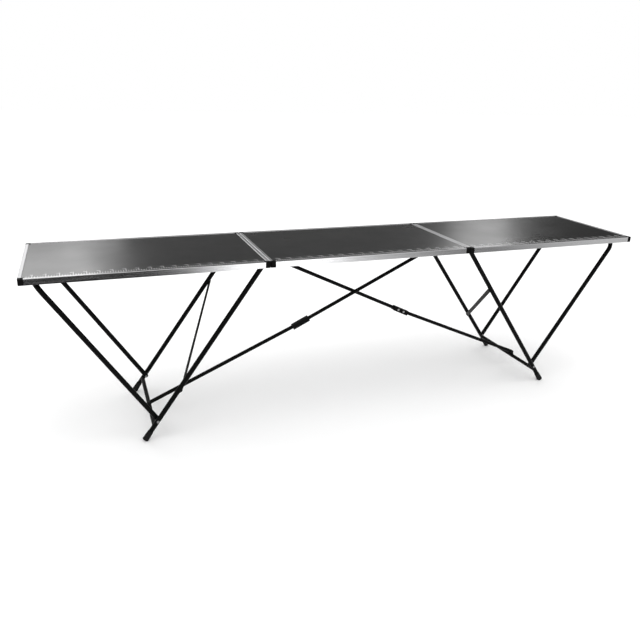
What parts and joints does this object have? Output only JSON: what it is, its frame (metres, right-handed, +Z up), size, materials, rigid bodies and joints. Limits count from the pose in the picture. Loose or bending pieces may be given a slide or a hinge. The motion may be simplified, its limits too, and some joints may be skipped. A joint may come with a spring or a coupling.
{
  "type": "pasting table",
  "caption": "Long folding pasting table: dark boards in aluminium frames, hinged end to end on splayed black tube legs with braces and crossed folding stays.",
  "frame": {"origin": "on the floor under the middle of the table", "axes": "+X along the table, +Y from the ruled front edge to the rear, +Z up"},
  "size_m": [3, 0.6, 0.8],
  "materials": {
    "board": "dark grey laminate, satin",
    "rail": "satin anodised",
    "cap": "black",
    "foot": "black",
    "plastic": "black",
    "bright": "bright zinc",
    "zinc": "zinc plated",
    "strip": "dark grey",
    "tube": "black powder coat"
  },
  "bodies": {
    "middle_panel": {"middle_board": "board", "middle_front_rail": "rail", "middle_rear_rail": "rail", "middle_left_end_rail": "rail", "middle_right_end_rail": "rail", "middle_corner_caps": "cap", "left_hinge_middle_leaves": "zinc", "right_hinge_middle_leaves": "zinc", "left_stay_bracket": "tube", "right_stay_bracket": "tube", "left_stay_pin": "bright", "right_stay_pin": "bright"},
    "left_panel": {"left_panel_board": "board", "left_panel_front_rail": "rail", "left_panel_rear_rail": "rail", "left_panel_outer_end_rail": "rail", "left_panel_inner_end_rail": "rail", "left_panel_corner_caps": "cap", "left_hinge_outer_leaves": "zinc", "left_hinge_pins": "bright", "left_leg_brackets": "tube", "left_leg_pivot_pins": "bright", "left_brace_clips": "plastic"},
    "left_leg": {"left_leg_front": "tube", "left_leg_rear": "tube", "left_leg_cross_tube": "tube", "left_leg_strip": "strip", "left_leg_feet": "foot", "left_brace_rivets": "bright"},
    "left_brace": {"left_brace": "tube"},
    "left_upper_stay": {"left_stay_upper": "tube", "left_stay_knee": "tube", "left_stay_knee_rivets": "bright"},
    "left_lower_stay": {"left_stay_lower": "tube", "left_stay_hook": "plastic"},
    "right_panel": {"right_panel_board": "board", "right_panel_front_rail": "rail", "right_panel_rear_rail": "rail", "right_panel_outer_end_rail": "rail", "right_panel_inner_end_rail": "rail", "right_panel_corner_caps": "cap", "right_hinge_outer_leaves": "zinc", "right_hinge_pins": "bright", "right_leg_brackets": "tube", "right_leg_pivot_pins": "bright", "right_brace_clips": "plastic"},
    "right_leg": {"right_leg_front": "tube", "right_leg_rear": "tube", "right_leg_cross_tube": "tube", "right_leg_strip": "strip", "right_leg_feet": "foot", "right_brace_rivets": "bright"},
    "right_brace": {"right_brace": "tube"},
    "right_upper_stay": {"right_stay_upper": "tube", "right_stay_knee": "tube", "right_stay_knee_rivets": "bright"},
    "right_lower_stay": {"right_stay_lower": "tube", "right_stay_hook": "plastic"}
  },
  "joints": [
    {"name": "left_panel_fold", "type": "hinge", "parent": "middle_panel", "child": "left_panel", "pos_m": [-0.50025, 0, 0.769], "axis": [0, -1, 0], "range_deg": [0, 24]},
    {"name": "left_leg_swing", "type": "hinge", "parent": "left_panel", "child": "left_leg", "pos_m": [-0.52325, 0, 0.779], "axis": [0, -1, 0], "range_deg": [0, 27]},
    {"name": "left_brace_fold", "type": "hinge", "parent": "left_leg", "child": "left_brace", "pos_m": [-1.01442, 0, 0.0904], "axis": [0, 1, 0], "range_deg": [0, 56]},
    {"name": "left_stay_swing", "type": "hinge", "parent": "middle_panel", "child": "left_upper_stay", "pos_m": [0.46225, -0.067, 0.77], "axis": [0, 1, 0], "range_deg": [0, 22.8]},
    {"name": "left_stay_knee_fold", "type": "hinge", "parent": "left_upper_stay", "child": "left_lower_stay", "pos_m": [-0.29752, -0.067, 0.40741], "axis": [0, -1, 0], "range_deg": [0, 94.11]},
    {"name": "right_panel_fold", "type": "hinge", "parent": "middle_panel", "child": "right_panel", "pos_m": [0.50025, 0, 0.769], "axis": [0, 1, 0], "range_deg": [0, 24]},
    {"name": "right_leg_swing", "type": "hinge", "parent": "right_panel", "child": "right_leg", "pos_m": [0.52325, 0, 0.779], "axis": [0, 1, 0], "range_deg": [0, 27]},
    {"name": "right_brace_fold", "type": "hinge", "parent": "right_leg", "child": "right_brace", "pos_m": [1.01442, 0, 0.0904], "axis": [0, -1, 0], "range_deg": [0, 56]},
    {"name": "right_stay_swing", "type": "hinge", "parent": "middle_panel", "child": "right_upper_stay", "pos_m": [-0.46225, -0.039, 0.77], "axis": [0, -1, 0], "range_deg": [0, 22.8]},
    {"name": "right_stay_knee_fold", "type": "hinge", "parent": "right_upper_stay", "child": "right_lower_stay", "pos_m": [0.29752, -0.039, 0.40741], "axis": [0, 1, 0], "range_deg": [0, 94.11]}
  ],
  "couplings": [
    {"joint": "left_leg_swing", "follows": "left_panel_fold", "ratio": 1.125},
    {"joint": "left_brace_fold", "follows": "left_panel_fold", "ratio": 2.3333},
    {"joint": "left_stay_swing", "follows": "left_panel_fold", "ratio": 0.94993},
    {"joint": "left_stay_knee_fold", "follows": "left_panel_fold", "ratio": 3.9209},
    {"joint": "right_leg_swing", "follows": "right_panel_fold", "ratio": 1.125},
    {"joint": "right_brace_fold", "follows": "right_panel_fold", "ratio": 2.3333},
    {"joint": "right_stay_swing", "follows": "right_panel_fold", "ratio": 0.94993},
    {"joint": "right_stay_knee_fold", "follows": "right_panel_fold", "ratio": 3.9209}
  ]
}
